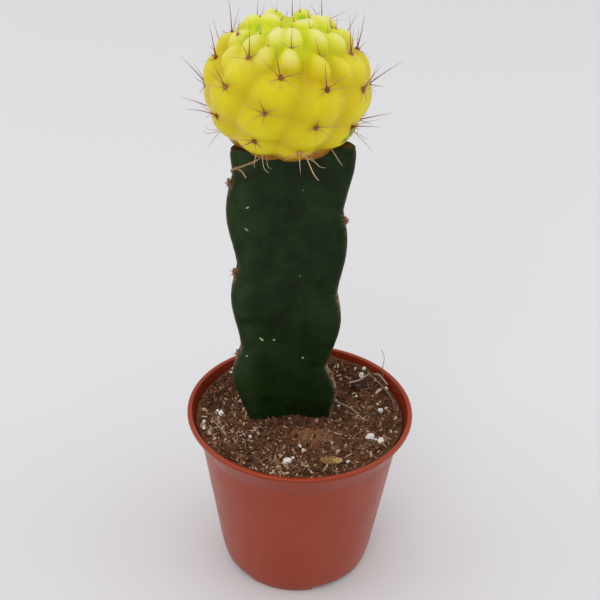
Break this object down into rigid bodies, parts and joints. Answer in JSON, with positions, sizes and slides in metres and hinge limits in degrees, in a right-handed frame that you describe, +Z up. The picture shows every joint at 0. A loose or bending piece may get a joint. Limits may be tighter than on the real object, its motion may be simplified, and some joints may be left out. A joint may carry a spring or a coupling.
{
  "type": "potted cactus",
  "caption": "Round yellow cactus head with spined tubercles, grafted on a tall three-winged green stock in a tapered nursery pot of peat mix.",
  "frame": {"origin": "centre of the pot's footprint, on the surface it stands on", "axes": "+Z up along the plant; -Y the front, seen in the picture; +X to the viewer's right"},
  "size_m": [0.0866, 0.085, 0.2254],
  "materials": {
    "pot_plastic": "satin",
    "peat": "matte",
    "stock_skin": "satin",
    "head_skin": "satin",
    "spine_horn": "satin",
    "cork": "matte",
    "perlite_white": "matte",
    "bark_brown": "matte"
  },
  "bodies": {
    "root": {"pot": "pot_plastic", "potting_mix": "peat", "rootstock": "stock_skin", "cactus_head": "head_skin", "bark_chip_1": "bark_brown", "bark_chip_2": "bark_brown", "head_spines_01": "spine_horn", "head_spines_02": "spine_horn", "head_spines_03": "spine_horn", "head_spines_04": "spine_horn", "head_spines_05": "spine_horn", "head_spines_06": "spine_horn", "head_spines_07": "spine_horn", "head_spines_08": "spine_horn", "head_spines_09": "spine_horn", "head_spines_10": "spine_horn", "head_spines_11": "spine_horn", "head_spines_12": "spine_horn", "head_spines_13": "spine_horn", "head_spines_14": "spine_horn", "head_spines_15": "spine_horn", "head_spines_16": "spine_horn", "head_spines_17": "spine_horn", "head_spines_18": "spine_horn", "head_spines_19": "spine_horn", "head_spines_20": "spine_horn", "head_spines_21": "spine_horn", "head_spines_22": "spine_horn", "head_spines_23": "spine_horn", "head_spines_24": "spine_horn", "head_spines_25": "spine_horn", "head_spines_26": "spine_horn", "head_spines_27": "spine_horn", "head_spines_28": "spine_horn", "head_spines_29": "spine_horn", "head_spines_30": "spine_horn", "head_spines_31": "spine_horn", "head_spines_32": "spine_horn", "head_spines_33": "spine_horn", "head_spines_34": "spine_horn", "perlite_1": "perlite_white", "perlite_2": "perlite_white", "perlite_3": "perlite_white", "perlite_4": "perlite_white", "perlite_5": "perlite_white", "perlite_6": "perlite_white", "root_fibre": "cork", "rootstock_spines_1": "cork", "rootstock_spines_2": "cork", "rootstock_spines_3": "cork", "rootstock_spines_4": "cork", "rootstock_spines_5": "cork", "rootstock_spines_6": "cork", "rootstock_spines_7": "cork"}
  },
  "joints": []
}
